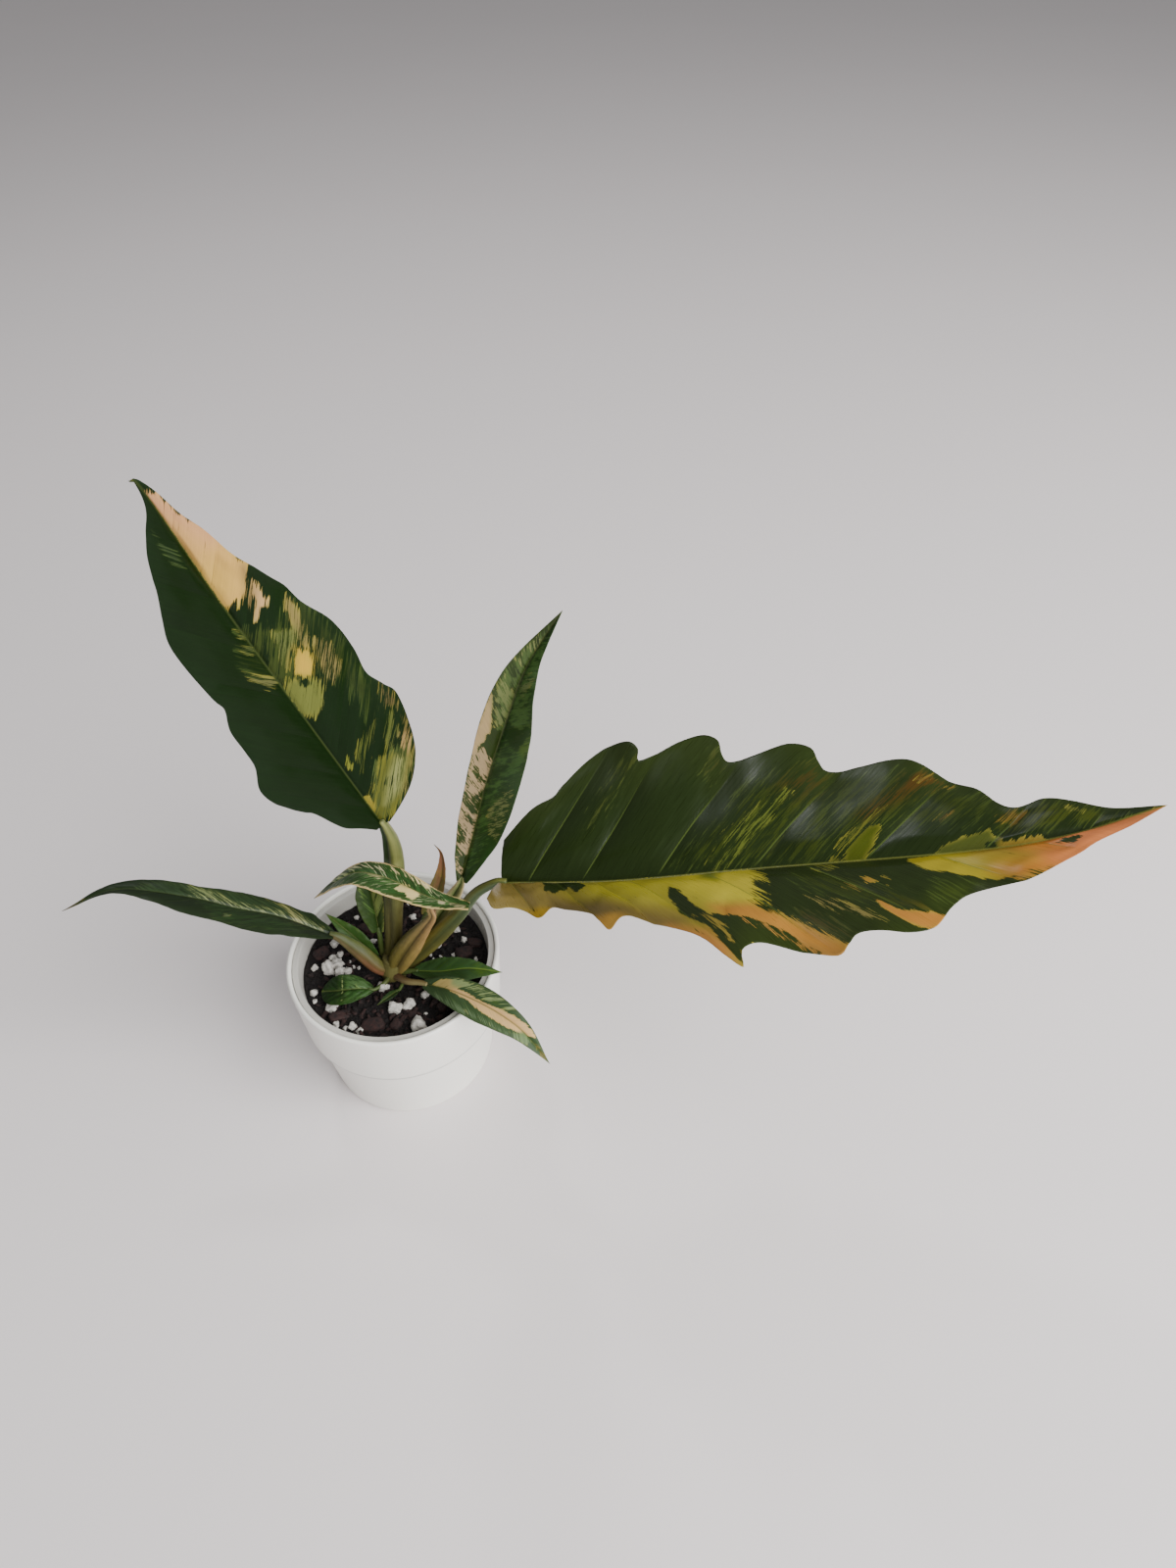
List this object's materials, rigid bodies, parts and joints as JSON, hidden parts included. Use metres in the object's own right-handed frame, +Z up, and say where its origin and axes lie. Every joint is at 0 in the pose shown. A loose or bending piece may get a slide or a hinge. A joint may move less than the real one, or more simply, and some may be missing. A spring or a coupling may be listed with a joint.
{
  "type": "potted plant",
  "caption": "Young climbing plant with marbled green and cream leaves and a giant leaf held out sideways, in a round white pot with a grey inner pot and dark bark mix.",
  "frame": {"origin": "centre of the outer pot's flat base, where it meets the floor", "axes": "+Z up along the pot's axis, +X along the giant leaf towards its tip, -Y towards the front of the plant"},
  "size_m": [0.4252, 0.1412, 0.343],
  "materials": {
    "pot_white": "warm white, soft gloss",
    "liner_grey": "mid grey, satin, faint ribs",
    "potting_mix": "dark brown bark and peat with white perlite grains",
    "petiole": "olive green turning caramel, satin",
    "giant_leaf": "dark green, half of it mustard yellow and peach, waxy gloss",
    "tall_leaf": "dark green, other half peach and cream marbled, waxy gloss",
    "upright_leaf": "green marbled with cream, waxy gloss",
    "left_leaf": "green marbled with cream, waxy gloss",
    "front_leaf": "green with silver marbling and cream margin, waxy gloss",
    "rear_leaf": "green with pale streaks, waxy gloss",
    "green_leaf": "plain green, waxy gloss",
    "rim_leaf": "green with a cream stripe and cream margin, waxy gloss",
    "soil_leaf": "green with small yellow spots, waxy gloss",
    "tiny_leaf": "green, satin",
    "green_bract": "bright green, satin",
    "dry_sheath": "pink brown, matt"
  },
  "bodies": {
    "root": {"pot_outer": "pot_white", "pot_liner": "liner_grey", "potting_mix": "potting_mix", "stem_with_petioles": "petiole", "giant_leaf": "giant_leaf", "tall_leaf": "tall_leaf", "upright_leaf": "upright_leaf", "left_leaf": "left_leaf", "front_leaf": "front_leaf", "rear_leaf": "rear_leaf", "green_leaf": "green_leaf", "rim_leaf": "rim_leaf", "soil_leaf": "soil_leaf", "tiny_leaf": "tiny_leaf", "green_bract": "green_bract", "dry_sheath": "dry_sheath"}
  },
  "joints": []
}
